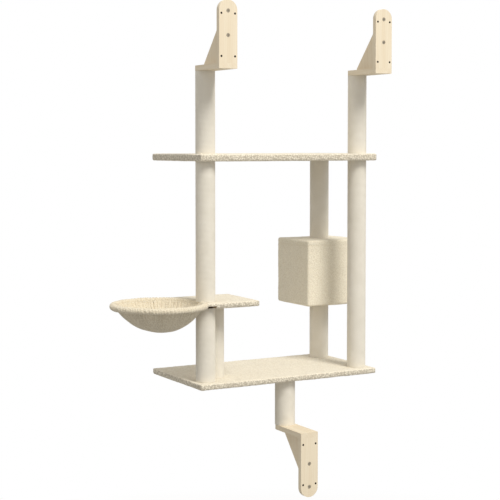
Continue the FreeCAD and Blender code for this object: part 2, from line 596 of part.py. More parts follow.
def condo():
    """The box on the condo posts. Returns its two bolts."""
    low_x = LEFT_X + " - condo_width / 2"
    low_y = CONDO_Y + " - condo_depth / 2"
    skin = "plush_thickness"
    wide = "condo_width - 2 * plush_thickness"
    deep = "condo_depth - 2 * plush_thickness"
    wall_z = f"{CONDO_UNDER} + {skin} + panel_thickness"
    wall_high = "condo_height - 2 * plush_thickness - 2 * panel_thickness"
    side_deep = "condo_depth - 2 * plush_thickness - 2 * panel_thickness"

    floor_seat = f"{CONDO_UNDER} + {skin} + panel_thickness"
    roof_seat = f"{CONDO_TOP} - {skin} - panel_thickness"
    grip = f"{skin} + panel_thickness"
    floor_hole = shank_hole("condo_floor_hole", LEFT_X, CONDO_Y, floor_seat, grip, "down")
    roof_hole = shank_hole("condo_roof_hole", LEFT_X, CONDO_Y, roof_seat, grip, "up")
    bolts = [bolt("condo_floor_bolt", LEFT_X, CONDO_Y, floor_seat, grip, "down"),
             bolt("condo_roof_bolt", LEFT_X, CONDO_Y, roof_seat, grip, "up")]

    screws, screw_holes = condo_screws(low_x, low_y)
    entrance_z = f"{CONDO_UNDER} + condo_height / 2"
    entrance = rod("condo_entrance", LEFT_X, low_y + " + condo_depth / 2", entrance_z,
                   "entrance_diameter", "condo_depth", "room")

    floor = block("condo_floor_blank", f"{low_x} + {skin}", f"{low_y} + {skin}",
                  f"{CONDO_UNDER} + {skin}", wide, deep, "panel_thickness")
    roof = block("condo_roof_blank", f"{low_x} + {skin}", f"{low_y} + {skin}", roof_seat, wide, deep,
                 "panel_thickness")
    front = block("condo_front_blank", f"{low_x} + {skin}", f"{low_y} + {skin}", wall_z, wide,
                  "panel_thickness", wall_high)
    back = block("condo_back_blank", f"{low_x} + {skin}",
                 f"{low_y} + condo_depth - {skin} - panel_thickness", wall_z, wide,
                 "panel_thickness", wall_high)
    node(cut("condo_floor_cut", floor, floor_hole, screw_holes), "condo_floor_panel")
    node(cut("condo_roof_cut", roof, roof_hole, screw_holes), "condo_roof_panel")
    node(cut("condo_front_cut", front, entrance, screw_holes), "condo_front_panel")
    node(cut("condo_back_cut", back, screw_holes), "condo_back_panel")
    for name, x in (("left", f"{low_x} + {skin}"),
                    ("right", f"{low_x} + condo_width - {skin} - panel_thickness")):
        node(block(f"condo_{name}", x, f"{low_y} + {skin} + panel_thickness", wall_z,
                   "panel_thickness", side_deep, wall_high), f"condo_{name}_panel")
    node(group("all_panel_screws", screws), "condo_screws")

    outside = move(slab("condo_plush_blank", "condo_width", "condo_depth", "condo_height",
                        "condo_edge", "condo_edge"), low_x, low_y, CONDO_UNDER)
    inside = block("condo_plush_space", f"{low_x} + {skin}", f"{low_y} + {skin}",
                   f"{CONDO_UNDER} + {skin}", wide, deep, "condo_height - 2 * plush_thickness")
    node(cut("condo_plush_cut", outside, inside, entrance, floor_hole, roof_hole), "condo_plush")
    return bolts


def condo_screws(low_x, low_y):
    """Screws that hold the floor and the roof to the front and back panels, and their holes."""
    screws = []
    holes = []
    edge = "plush_thickness + panel_thickness / 2"
    inset = "plush_thickness + panel_screw_inset"
    ends = (("floor", "up", f"{CONDO_UNDER} + plush_thickness"),
            ("roof", "down", f"{CONDO_TOP} - plush_thickness"))
    columns = ((0, f"{low_x} + {inset}"), (1, f"{low_x} + condo_width - ({inset})"))
    rows = (("front", f"{low_y} + {edge}"), ("back", f"{low_y} + condo_depth - ({edge})"))
    for end, way, z in ends:
        for column, x in columns:
            for side, y in rows:
                name = f"condo_{end}_{side}_screw_{column}"
                head = rod(name + "_head", x, y, z, "panel_screw_head", "panel_screw_seat", way)
                shank = rod(name + "_shank", x, y, z, "panel_screw_diameter", "panel_screw_length",
                            way)
                screws.append(fuse(name, head, shank))
                slack = " + 2 * thread_clearance"
                holes.append(rod(name + "_seat", x, y, z, "panel_screw_head" + slack,
                                 "panel_screw_seat", way))
                holes.append(rod(name + "_hole", x, y, z, "panel_screw_diameter" + slack,
                                 "panel_screw_length", way))
    return screws, group("condo_screw_holes", holes)


# ---------------------------------------------------------------- the whole

def bracket_bolts():
    """The bolts that hold the posts under the upper brackets and on the lower one."""
    grip = "board_thickness - bolt_recess"
    upper = [bolt(f"{side}_head_bolt", x, ROW_Y, f"{UPPER_BRACKET} + {grip}", grip, "down")
             for side, x in (("right", RIGHT_X), ("left", LEFT_X))]
    lower = bolt("lower_foot_bolt", "0", ROW_Y, f"{HOLES_TO_BOARD} - ({grip})", grip, "up")
    return upper + [lower]


def check():
    for item in doc.Objects:
        faults = {"Invalid", "Error"} & set(item.State)
        if faults:
            raise ValueError(f"{item.Name} failed: {sorted(faults)}")
    for item in nodes:
        if item.Shape.isNull() or not item.Shape.isValid():
            raise ValueError(f"{item.Label} has no valid shape")


def write():
    os.makedirs("parts", exist_ok=True)
    for item in nodes:
        item.Shape.exportStep(f"parts/{item.Label}.step")
        solids = len(item.Shape.Solids)
        print(f"{item.Label:24s} {solids:3d} solids {item.Shape.Volume / 1000:10.2f} cm3")


fill_sheet()
brackets()
posts()
platform_bolts, all_studs = platforms()
hammock()
condo_bolts = condo()
node(group("all_bolts", bracket_bolts() + platform_bolts + condo_bolts), "post_bolts")
node(group("all_studs", all_studs), "post_studs")
doc.recompute()
check()
write()
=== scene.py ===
import json
import math

import bmesh
import bpy
from mathutils import Matrix, Vector, noise


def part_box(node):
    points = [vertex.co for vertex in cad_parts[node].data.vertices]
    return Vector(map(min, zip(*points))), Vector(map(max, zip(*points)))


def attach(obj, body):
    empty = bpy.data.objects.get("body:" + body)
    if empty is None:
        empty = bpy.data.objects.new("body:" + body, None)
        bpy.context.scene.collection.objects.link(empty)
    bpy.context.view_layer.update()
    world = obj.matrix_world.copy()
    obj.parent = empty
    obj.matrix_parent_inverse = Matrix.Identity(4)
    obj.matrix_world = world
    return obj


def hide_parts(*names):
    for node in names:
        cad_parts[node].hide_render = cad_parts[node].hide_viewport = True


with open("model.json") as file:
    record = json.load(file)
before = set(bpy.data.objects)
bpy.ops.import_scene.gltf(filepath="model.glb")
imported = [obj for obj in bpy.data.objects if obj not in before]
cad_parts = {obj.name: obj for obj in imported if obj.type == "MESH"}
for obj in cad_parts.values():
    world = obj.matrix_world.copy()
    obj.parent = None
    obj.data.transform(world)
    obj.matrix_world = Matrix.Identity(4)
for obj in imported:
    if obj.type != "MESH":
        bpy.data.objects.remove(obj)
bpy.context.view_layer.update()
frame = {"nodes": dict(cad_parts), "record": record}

SCENE = bpy.context.scene
NODES = frame["nodes"]

POSTS = ["right_upper_post", "right_middle_post", "right_lower_post", "left_upper_post",
         "left_long_post", "condo_upper_post", "condo_lower_post", "inner_post", "lower_post"]
BRACKETS = ["right", "left", "lower"]

# Wound posts. The cord's profile gives shares of its pitch along the post and of its depth.
WRAP = 0.003
ROPE_PITCH = 0.0042
ROPE_DEPTH = 0.0009
ROPE_STEPS = 30
ROPE_PROFILE = [(0.0, 1.0), (0.15, 0.45), (0.5, 0.0), (0.85, 0.45), (1.0, 1.0)]
STRANDS = 75
WAVE_FACTOR = 10  # the wave texture's own factor on its place

# Plush covers
PLUSH = 0.003
PLATFORM_CORNER = 0.006
PLATFORM_EDGE = 0.0045
COVER_GRAIN = 0.0033
PILE_HEIGHT = 0.0010
BOARD_PILE_HEIGHT = 0.0019
GROUND_HEIGHT = 0.0006
CORNER_STEPS = 5
EDGE_STEPS = 4
BOLT_SEAT = 0.0085
BOLT_SEAT_SIDES = 24
SLOT_DEPTH = 0.010
SLOT_PLAY = 0.001
NOTCH_PLAY = 0.001
NOTCH_SIDES = 128
PAST = 0.01  # how far a cutter reaches past what it cuts
TINY = 1e-5

# Condo
CONDO_EDGE = 0.006
CONDO_SWELL = 0.0018
CONDO_SLACK = 0.0010
CONDO_SEAM = 0.020
SEAM_DEPTH = 0.0009
SEAM_WIDTH = 0.003
SEAM_WANDER = 0.0015
# A thin line of painted shade lies in the condo's seam groove, at the strength SEAM_SHADE within
# the first of these widths and gone past the second.
SEAM_SHADE_LINE = (0.0012, 0.0035)
SEAM_SHADE = 0.55
ENTRANCE = 0.160
ENTRANCE_SIDES = 96
DOOR_REACH = 0.15  # half the length of what cuts the entrance

# Hammock
WIRE_RADIUS = 0.004
ROLL_RADIUS = 0.0118
ROLL_LEAN = 0.0022
ROLL_LIFT = 0.0012
ROLL_SIDES = 24
ROLL_STEPS = 640
# The roll's radius in shares of ROLL_RADIUS: at large, in its gathers, its loose waves and by the
# post, whose pressure reaches POST_REACH radians round the ring.
ROLL_FULLNESS = 0.93
GATHER_SHARE = 0.06
LOOSE_SHARE = 0.07
PRESSED_SHARE = 0.12
POST_REACH = 0.42
GATHERS = 96
PLEATS = 74
PLEAT_DEPTH = 0.0022
CREASE_DEPTH = 0.0012
SWAY = 0.0018
BOWL_INSET = 0.002
BOWL_RINGS = 40
BOWL_STEPS = 480
BOWL_CLOTH = 0.004
SAG_DRIFT = Vector((-0.0061, 0.0034, 0.002))

# Brackets. The painted shade in the wall holes reaches a little wider than their bore.
HOLES_ACROSS = 0.052
HOLES_ALONG = 0.144
HOLE_RADIUS = 0.0036
HOLE_BLUR = 0.0005
BROKEN_EDGE = 0.0007
UPRIGHT_TURN = (0, 0, 0.4)
OUTWARD_TURN = (math.radians(90), 0, 0)

# Colours, and where they change. SIDE_TILT is how far a side's normal may lean from the level
# and still take the painted shade of upright plush.
PATCH_TONE = 0.88
SIDE_TILT = (0.35, 0.75)
PINE_PALE = (0.83, 0.73, 0.56, 1)
PINE_WARM = (0.76, 0.64, 0.46, 1)
PINE_STREAK = (0.68, 0.53, 0.34, 1)
HOLE_PAINTED_SHADE = (0.030, 0.020, 0.012, 1)
CORD_LIGHT = (0.835, 0.785, 0.685, 1)
CORD_DARK = (0.785, 0.735, 0.63, 1)
CORD_STRAND = (0.62, 0.56, 0.46, 1)
FLOOR_LOOK = (0.86, 0.86, 0.85, 1)
FLOOR_GLOW = (0.34, 0.335, 0.325, 1)

# Studio
FLOOR_LEVEL = -0.95
FLOOR_RADIUS = 14.0
FLOOR_FADE = (1.8, 3.4)
FILL_COLOUR = (1.0, 0.99, 0.97, 1)
FILL_STRENGTH = 0.66
LAMP_PLACE = Vector((-1.2, 7.95, 10.7))
LAMP_AIM = Vector((0.1, -0.2, 0.7))
LAMP_SIZES = (4.0, 6.0)
LAMP_POWER = 1290
LAMP_TINT = (1.0, 0.99, 0.965)
CAMERA_PLACE = (2.4193, 3.8751, 1.1309)
CAMERA_TURN = math.radians(29.33)
CAMERA_DIP = math.radians(2.852)
SENSOR = 36.0
LENS = 93.59
LENS_SHIFT = -0.08


# ---------------------------------------------------------------- making pieces

def link_object(name, data):
    thing = bpy.data.objects.new(name, data)
    SCENE.collection.objects.link(thing)
    return thing


def link_mesh(name, bm):
    mesh = bpy.data.meshes.new(name)
    bm.to_mesh(mesh)
    bm.free()
    return link_object(name, mesh)


def open_mesh(piece):
    bm = bmesh.new()
    bm.from_mesh(piece.data)
    return bm


def close_mesh(bm, piece):
    bm.to_mesh(piece.data)
    bm.free()


def smooth_faces(piece):
    for face in piece.data.polygons:
        face.use_smooth = True


def add_piece(name, bm, finish, replaced):
    bmesh.ops.recalc_face_normals(bm, faces=bm.faces)
    piece = link_mesh(name, bm)
    smooth_faces(piece)
    piece.data.materials.append(finish)
    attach(piece, "root")
    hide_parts(*replaced)
    return piece


def set_modifiers(piece):
    """Turns what the piece's modifiers make into its own mesh."""
    bpy.context.view_layer.update()
    shaped = piece.evaluated_get(bpy.context.evaluated_depsgraph_get())
    mesh = bpy.data.meshes.new_from_object(shaped)
    piece.modifiers.clear()
    piece.data = mesh


def block(low, high):
    bm = bmesh.new()
    bmesh.ops.create_cube(bm, size=1)
    bmesh.ops.scale(bm, vec=high - low, verts=bm.verts)
    bmesh.ops.translate(bm, vec=(low + high) / 2, verts=bm.verts)
    return bm


def round_edges(bm, radius, segments, test):
    edges = [edge for edge in bm.edges if test(edge)]
    bmesh.ops.bevel(bm, geom=edges, offset=radius, offset_type="OFFSET", affect="EDGES",
                    segments=segments, profile=0.5, material=-1)


def is_upright(edge):
    return abs(edge.verts[0].co.z - edge.verts[1].co.z) > TINY


def is_level_rim(edge):
    return not is_upright(edge) and edge.calc_face_angle(0) > math.radians(60)


def plug_of(x, y, low, high, radius, sides):
    """A round cutter that stands upright."""
    bm = bmesh.new()
    place = Matrix.Translation((x, y, (low + high) / 2))
    bmesh.ops.create_cone(bm, cap_ends=True, segments=sides, radius1=radius, radius2=radius,
                          depth=high - low, matrix=place)
    return bm


def cut_away(piece, cutters):
    for bm in cutters:
        tool = link_mesh("cutter", bm)
        cutting = piece.modifiers.new("cut", "BOOLEAN")
        cutting.operation = "DIFFERENCE"
        cutting.solver = "EXACT"
        cutting.object = tool
        set_modifiers(piece)
        bpy.data.objects.remove(tool)


def remesh(piece, grain):
    finer = piece.modifiers.new("even", "REMESH")
    finer.mode = "VOXEL"
    finer.voxel_size = grain
    set_modifiers(piece)


def rough_up(piece, heights):
    """Moves each point along its normal by what heights gives for its place."""
    mesh = piece.data
    moved = [vert.co + vert.normal * heights(vert.co) for vert in mesh.vertices]
    for vert, place in zip(mesh.vertices, moved):
        vert.co = place
    smooth_faces(piece)
    mesh.update()


def pile(place, height=PILE_HEIGHT):
    """Height of the looped plush at a place: small tufts on a slightly uneven ground."""
    tufts = noise.noise(place * 160) * 0.5 + noise.noise(place * 330 + Vector((7, 3, 5))) * 0.5
    ground = noise.noise(place * 18)
    return height * tufts + GROUND_HEIGHT * ground


def board_pile(place):
    return pile(place, BOARD_PILE_HEIGHT)


# ---------------------------------------------------------------- finishes

def new_finish(name):
    finish = bpy.data.materials.new(name)
    finish.use_nodes = True
    return finish, finish.node_tree, finish.node_tree.nodes["Principled BSDF"]


def add(tree, kind, **values):
    item = tree.nodes.new(kind)
    for name, value in values.items():
        setattr(item, name, value)
    return item


def set_inputs(item, **values):
    for name, value in values.items():
        item.inputs[name.replace("_", " ")].default_value = value
    return item


def new_group(name, inputs, outputs):
    tree = bpy.data.node_groups.new(name, "ShaderNodeTree")
    for label, kind in inputs:
        tree.interface.new_socket(label, in_out="INPUT", socket_type="NodeSocket" + kind)
    for label, kind in outputs:
        tree.interface.new_socket(label, in_out="OUTPUT", socket_type="NodeSocket" + kind)
    return tree, tree.nodes.new("NodeGroupInput"), tree.nodes.new("NodeGroupOutput")


def ramp(tree, value, low, high, to_low=0.0, to_high=1.0):
    item = add(tree, "ShaderNodeMapRange")
    set_inputs(item, From_Min=low, From_Max=high, To_Min=to_low, To_Max=to_high)
    tree.links.new(value, item.inputs["Value"])
    return item.outputs["Result"]


def feed(tree, socket, value):
    """Links another node's socket, or sets a plain number or colour."""
    if isinstance(value, bpy.types.NodeSocket):
        tree.links.new(value, socket)
    else:
        socket.default_value = value


def blend_colours(tree, mask, first, second):
    item = add(tree, "ShaderNodeMix", data_type="RGBA", blend_type="MIX")
    feed(tree, item.inputs[0], mask)
    feed(tree, item.inputs[6], first)
    feed(tree, item.inputs[7], second)
    return item.outputs[2]


def math_node(tree, operation, first, second=0.0):
    item = add(tree, "ShaderNodeMath", operation=operation)
    feed(tree, item.inputs[0], first)
    feed(tree, item.inputs[1], second)
    return item.outputs[0]


def add_bump(tree, shader, height, strength, relief):
    bump = set_inputs(add(tree, "ShaderNodeBump"), Strength=strength, Distance=relief)
    tree.links.new(height, bump.inputs["Height"])
    tree.links.new(bump.outputs["Normal"], shader.inputs["Normal"])


def loops_group():
    """Looped pile: a mask that is 1 on the tufts and 0 between them, a height and slow patches."""
    tree, given, out = new_group("looped pile",
                                 [("Vector", "Vector"), ("Tufts per metre", "Float")],
                                 [("Tufts", "Float"), ("Height", "Float"), ("Patches", "Float")])
    warp = set_inputs(add(tree, "ShaderNodeTexNoise"), Scale=300.0, Detail=1.0)
    tree.links.new(given.outputs["Vector"], warp.inputs["Vector"])
    shift = add(tree, "ShaderNodeVectorMath", operation="MULTIPLY_ADD")
    shift.inputs[1].default_value = (0.003, 0.003, 0.003)
    tree.links.new(warp.outputs["Color"], shift.inputs[0])
    tree.links.new(given.outputs["Vector"], shift.inputs[2])
    cells = set_inputs(add(tree, "ShaderNodeTexVoronoi", feature="SMOOTH_F1"), Smoothness=0.4,
                       Randomness=1.0)
    tree.links.new(shift.outputs[0], cells.inputs["Vector"])
    tree.links.new(given.outputs["Tufts per metre"], cells.inputs["Scale"])
    tufts = ramp(tree, cells.outputs["Distance"], 0.15, 0.75, 1.0, 0.0)
    fibres = set_inputs(add(tree, "ShaderNodeTexNoise"), Scale=1400.0, Detail=2.0)
    tree.links.new(given.outputs["Vector"], fibres.inputs["Vector"])
    fluff = math_node(tree, "MULTIPLY", fibres.outputs["Fac"], 0.35)
    height = math_node(tree, "ADD", tufts, fluff)
    slow = set_inputs(add(tree, "ShaderNodeTexNoise"), Scale=26.0, Detail=4.0, Roughness=0.75)
    tree.links.new(given.outputs["Vector"], slow.inputs["Vector"])
    tree.links.new(tufts, out.inputs["Tufts"])
    tree.links.new(height, out.inputs["Height"])
    tree.links.new(ramp(tree, slow.outputs["Fac"], 0.3, 0.7), out.inputs["Patches"])
    return tree


def plush_finish(name, light, dark, tufts=230.0, relief=0.0012, painted_side_shade=None, seam=None):
    """tufts is their number in a metre. The colour given for upright faces is painted shade between
    their tufts, standing for the shade on a board's sides. seam is the height of a level seam,
    along which a thin line of painted shade runs."""
    finish, tree, shader = new_finish(name)
    place = add(tree, "ShaderNodeTexCoord")
    pile_node = add(tree, "ShaderNodeGroup", node_tree=LOOPS)
    tree.links.new(place.outputs["Object"], pile_node.inputs["Vector"])
    pile_node.inputs["Tufts per metre"].default_value = tufts
    patchy = blend_colours(tree, pile_node.outputs["Patches"], light,
                           tuple(PATCH_TONE * part for part in light[:3]) + (1,))
    colour = blend_colours(tree, pile_node.outputs["Tufts"], dark, patchy)
    # Upright faces get painted shade between their tufts, standing for the shade on a board's
    # sides.
    if painted_side_shade:
        facing = add(tree, "ShaderNodeSeparateXYZ")
        tree.links.new(place.outputs["Normal"], facing.inputs[0])
        upright = math_node(tree, "ABSOLUTE", facing.outputs["Z"])
        on_side = ramp(tree, upright, *SIDE_TILT, 1.0, 0.0)
        between = math_node(tree, "SUBTRACT", 1.0, pile_node.outputs["Tufts"])
        gaps = math_node(tree, "MULTIPLY", on_side, between)
        colour = blend_colours(tree, gaps, colour, painted_side_shade)
    # A thin line of painted shade in the seam's groove.
    if seam:
        high = add(tree, "ShaderNodeSeparateXYZ")
        tree.links.new(place.outputs["Object"], high.inputs[0])
        away = math_node(tree, "ABSOLUTE", math_node(tree, "SUBTRACT", high.outputs["Z"], seam))
        shade = ramp(tree, away, *SEAM_SHADE_LINE, SEAM_SHADE, 0.0)
        colour = blend_colours(tree, shade, colour, dark)
    tree.links.new(colour, shader.inputs["Base Color"])
    add_bump(tree, shader, pile_node.outputs["Height"], 0.8, relief)
    set_inputs(shader, Roughness=0.95, Sheen_Weight=0.25, Sheen_Roughness=0.5,
               Specular_IOR_Level=0.2)
    return finish


def grain_group():
    """Straight pine grain along Z, with growth rings, pores and a few darker streaks."""
    tree, given, out = new_group("pine grain", [("Vector", "Vector")],
                                 [("Rings", "Float"), ("Fibres", "Float"), ("Streaks", "Float")])
    stretch = add(tree, "ShaderNodeMapping")
    stretch.inputs["Scale"].default_value = (1.0, 1.0, 0.06)
    tree.links.new(given.outputs["Vector"], stretch.inputs["Vector"])
    bend = set_inputs(add(tree, "ShaderNodeTexNoise"), Scale=14.0, Detail=2.0)
    tree.links.new(stretch.outputs["Vector"], bend.inputs["Vector"])
    shift = add(tree, "ShaderNodeVectorMath", operation="MULTIPLY_ADD")
    shift.inputs[1].default_value = (0.02, 0.02, 0.0)
    tree.links.new(bend.outputs["Color"], shift.inputs[0])
    tree.links.new(stretch.outputs["Vector"], shift.inputs[2])
    rings = set_inputs(add(tree, "ShaderNodeTexWave", wave_type="BANDS", bands_direction="DIAGONAL",
                           wave_profile="SAW"), Scale=55.0, Distortion=1.5, Detail=1.0)
    tree.links.new(shift.outputs[0], rings.inputs["Vector"])
    fibres = set_inputs(add(tree, "ShaderNodeTexNoise"), Scale=900.0, Detail=3.0)
    tree.links.new(stretch.outputs["Vector"], fibres.inputs["Vector"])
    streaks = set_inputs(add(tree, "ShaderNodeTexNoise"), Scale=60.0, Detail=2.0)
    tree.links.new(stretch.outputs["Vector"], streaks.inputs["Vector"])
    tree.links.new(rings.outputs["Fac"], out.inputs["Rings"])
    tree.links.new(fibres.outputs["Fac"], out.inputs["Fibres"])
    tree.links.new(ramp(tree, streaks.outputs["Fac"], 0.35, 0.65), out.inputs["Streaks"])
    return tree


def bore_group():
    """1 inside the four wall holes of a plate whose middle is the vector's origin."""
    tree, given, out = new_group("wall holes", [("Vector", "Vector")], [("Mask", "Float")])
    fold = add(tree, "ShaderNodeVectorMath", operation="ABSOLUTE")
    tree.links.new(given.outputs["Vector"], fold.inputs[0])
    from_hole = add(tree, "ShaderNodeVectorMath", operation="SUBTRACT")
    from_hole.inputs[1].default_value = (HOLES_ACROSS / 2, 0, HOLES_ALONG / 2)
    tree.links.new(fold.outputs[0], from_hole.inputs[0])
    flat = add(tree, "ShaderNodeVectorMath", operation="MULTIPLY")
    flat.inputs[1].default_value = (1, 0, 1)
    tree.links.new(from_hole.outputs[0], flat.inputs[0])
    length = add(tree, "ShaderNodeVectorMath", operation="LENGTH")
    tree.links.new(flat.outputs[0], length.inputs[0])
    mask = ramp(tree, length.outputs["Value"], HOLE_RADIUS, HOLE_RADIUS + HOLE_BLUR, 1.0, 0.0)
    tree.links.new(mask, out.inputs["Mask"])
    return tree


def pine_finish(name, turn, holes=None):
    """turn brings the grain's run onto Z. holes is the middle of a plate's four wall holes, whose
    drilled walls get painted shade."""
    finish, tree, shader = new_finish(name)
    place = add(tree, "ShaderNodeTexCoord")
    aim = add(tree, "ShaderNodeMapping")
    aim.inputs["Rotation"].default_value = turn
    tree.links.new(place.outputs["Object"], aim.inputs["Vector"])
    grain = add(tree, "ShaderNodeGroup", node_tree=GRAIN)
    tree.links.new(aim.outputs["Vector"], grain.inputs["Vector"])
    rings = math_node(tree, "MULTIPLY", grain.outputs["Rings"], 0.45)
    base = blend_colours(tree, rings, PINE_PALE, PINE_WARM)
    streaky = math_node(tree, "MULTIPLY", grain.outputs["Streaks"], 0.25)
    colour = blend_colours(tree, streaky, base, PINE_STREAK)
    if holes:
        centre = add(tree, "ShaderNodeMapping")
        centre.inputs["Location"].default_value = -Vector(holes)
        tree.links.new(place.outputs["Object"], centre.inputs["Vector"])
        bores = add(tree, "ShaderNodeGroup", node_tree=BORES)
        tree.links.new(centre.outputs["Vector"], bores.inputs["Vector"])
        # The drilled walls of the wall holes get painted shade.
        colour = blend_colours(tree, bores.outputs["Mask"], colour, HOLE_PAINTED_SHADE)
    tree.links.new(colour, shader.inputs["Base Color"])
    add_bump(tree, shader, grain.outputs["Fibres"], 0.25, 0.0002)
    set_inputs(shader, Roughness=0.62, Specular_IOR_Level=0.35)
    return finish


def rope_finish():
    """Twisted cord wound round a post: U runs along the cord and V across it."""
    finish, tree, shader = new_finish("wound cord")
    place = add(tree, "ShaderNodeUVMap", uv_map="cord")
    twist = set_inputs(add(tree, "ShaderNodeTexWave", wave_type="BANDS", bands_direction="DIAGONAL",
                           wave_profile="SIN"), Scale=1.0, Distortion=0.4, Detail=1.0)
    tree.links.new(place.outputs["UV"], twist.inputs["Vector"])
    object_place = add(tree, "ShaderNodeTexCoord")
    slow = set_inputs(add(tree, "ShaderNodeTexNoise"), Scale=22.0, Detail=3.0)
    tree.links.new(object_place.outputs["Object"], slow.inputs["Vector"])
    patches = ramp(tree, slow.outputs["Fac"], 0.3, 0.7)
    base = blend_colours(tree, patches, CORD_LIGHT, CORD_DARK)
    strands = math_node(tree, "MULTIPLY", twist.outputs["Fac"], 0.25)
    colour = blend_colours(tree, strands, base, CORD_STRAND)
    tree.links.new(colour, shader.inputs["Base Color"])
    add_bump(tree, shader, twist.outputs["Fac"], 0.5, 0.0004)
    set_inputs(shader, Roughness=0.85, Sheen_Weight=0.1, Specular_IOR_Level=0.25)
    return finish


def mottled_finish(name, first, second, metal, rough, scale=300.0, relief=0.0001):
    """A plain stuff whose two tones and roughness vary in fine spots."""
    finish, tree, shader = new_finish(name)
    place = add(tree, "ShaderNodeTexCoord")
    spots = set_inputs(add(tree, "ShaderNodeTexNoise"), Scale=scale, Detail=4.0)
    tree.links.new(place.outputs["Object"], spots.inputs["Vector"])
    mask = ramp(tree, spots.outputs["Fac"], 0.3, 0.7)
    tree.links.new(blend_colours(tree, mask, first, second), shader.inputs["Base Color"])
    tree.links.new(ramp(tree, mask, 0.0, 1.0, rough, rough + 0.12), shader.inputs["Roughness"])
    add_bump(tree, shader, spots.outputs["Fac"], 0.3, relief)
    set_inputs(shader, Metallic=metal)
    return finish


LOOPS = loops_group()
GRAIN = grain_group()
BORES = bore_group()
# The one cream plush comes in three copies whose tones are painted light: the boards' and the
# condo's are lighter than the hammock's.
CREAM_PLUSH = plush_finish("cream looped plush", (0.89, 0.81, 0.64, 1), (0.66, 0.57, 0.42, 1))
BOARD_PLUSH = plush_finish("cream plush on boards", (0.97, 0.90, 0.745, 1), (0.77, 0.69, 0.54, 1),
                           tufts=170.0, relief=0.0016, painted_side_shade=(0.52, 0.46, 0.36, 1))
CONDO_PLUSH = plush_finish("cream plush on condo", (0.97, 0.90, 0.735, 1), (0.80, 0.72, 0.56, 1),
                           seam=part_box("condo_plush")[1].z - CONDO_SEAM)
WOUND_CORD = rope_finish()
PINE_UPRIGHT = pine_finish("pine, grain upright", UPRIGHT_TURN)
PINE_OUTWARD = pine_finish("pine, grain outward", OUTWARD_TURN)
SCREW = mottled_finish("satin screw steel", (0.40, 0.35, 0.27, 1), (0.28, 0.24, 0.18, 1),
                       metal=0.55, rough=0.42)
ZINC = mottled_finish("zinc plated steel", (0.55, 0.55, 0.54, 1), (0.42, 0.42, 0.41, 1),
                      metal=1.0, rough=0.35)
BLACKED = mottled_finish("blacked steel", (0.16, 0.16, 0.16, 1), (0.11, 0.11, 0.11, 1),
                         metal=0.8, rough=0.45)
CHIPBOARD = mottled_finish("chipboard", (0.56, 0.43, 0.27, 1), (0.40, 0.29, 0.17, 1),
                           metal=0.0, rough=0.8, scale=420.0, relief=0.0003)
CARDBOARD = mottled_finish("cardboard tube", (0.46, 0.35, 0.23, 1), (0.39, 0.29, 0.18, 1),
                           metal=0.0, rough=0.85)
BEECH = mottled_finish("beech dowel", (0.66, 0.48, 0.30, 1), (0.58, 0.41, 0.25, 1),
                       metal=0.0, rough=0.6)


def dress_cad_nodes():
    """Gives the hard nodes their finishes. Each wall plate has its own pine, with painted shade
    in its holes.
    """
    finishes = {"post_end_plugs": PINE_UPRIGHT, "threaded_inserts": ZINC, "post_bolts": ZINC,
                "post_studs": ZINC, "bracket_dowels": BEECH, "gusset_screws": SCREW,
                "bottom_board": CHIPBOARD, "middle_board": CHIPBOARD, "top_board": CHIPBOARD,
                "hammock_ring": BLACKED, "hammock_tab": BLACKED, "hammock_spacer": ZINC,
                "condo_screws": ZINC}
    for side in BRACKETS:
        holes = next(mount["pos_m"] for mount in frame["record"]["mounts"]
                     if mount["name"] == side + "_wall_holes")
        finishes[side + "_wall_plate"] = pine_finish(side + " plate pine", UPRIGHT_TURN, holes)
        finishes[side + "_gusset"] = PINE_UPRIGHT
        finishes[side + "_bracket_board"] = PINE_OUTWARD
    for side in ("floor", "roof", "front", "back", "left", "right"):
        finishes[f"condo_{side}_panel"] = CHIPBOARD
    for post in POSTS:
        finishes[post + "_core"] = CARDBOARD
    for name, finish in finishes.items():
        NODES[name].data.materials.clear()
        NODES[name].data.materials.append(finish)
    for side in BRACKETS:
        for part in ("wall_plate", "bracket_board", "gusset"):
            break_edges(NODES[f"{side}_{part}"])


def break_edges(board):
    """Slightly rounds a planed board's sharp edges, as sandpaper does."""
    board.modifiers.new("weld", "WELD").merge_threshold = TINY
    rounding = board.modifiers.new("broken edges", "BEVEL")
    rounding.width = BROKEN_EDGE
    rounding.segments = 2
    rounding.limit_method = "ANGLE"
    rounding.angle_limit = math.radians(40)
    rounding.harden_normals = True


# ---------------------------------------------------------------- wound posts

def wrap_post(post):
    """A post's cord, wound in single turns from end to end over its core."""
    low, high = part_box(post + "_wrap")
    centre = (low + high) / 2
    outside = (high.x - low.x) / 2
    inside = outside - WRAP
    bm = bmesh.new()
    line = [bm.verts.new((outside - ROPE_DEPTH * sunk, 0, share * ROPE_PITCH))
            for share, sunk in ROPE_PROFILE]
    edges = [bm.edges.new(pair) for pair in zip(line, line[1:])]
    bmesh.ops.spin(bm, geom=line + edges, cent=(0, 0, 0), axis=(0, 0, 1),
                   dvec=(0, 0, ROPE_PITCH / ROPE_STEPS), angle=math.tau, steps=ROPE_STEPS)
    write_cord_map(bm)
    bmesh.ops.translate(bm, vec=(centre.x, centre.y, low.z - ROPE_PITCH), verts=bm.verts)
    rope = add_piece(post + "_rope", bm, WOUND_CORD, [post + "_wrap"])
    repeat_turn(rope, math.ceil((high.z - low.z) / ROPE_PITCH) + 2)
    bm = open_mesh(rope)
    for level, side in ((low.z, -1), (high.z, 1)):
        bmesh.ops.bisect_plane(bm, geom=bm.verts[:] + bm.edges[:] + bm.faces[:], dist=1e-7,
                               plane_co=(0, 0, level), plane_no=(0, 0, side), clear_outer=True)
    close_sleeve(bm, centre, inside)
    bmesh.ops.recalc_face_normals(bm, faces=bm.faces)
    close_mesh(bm, rope)


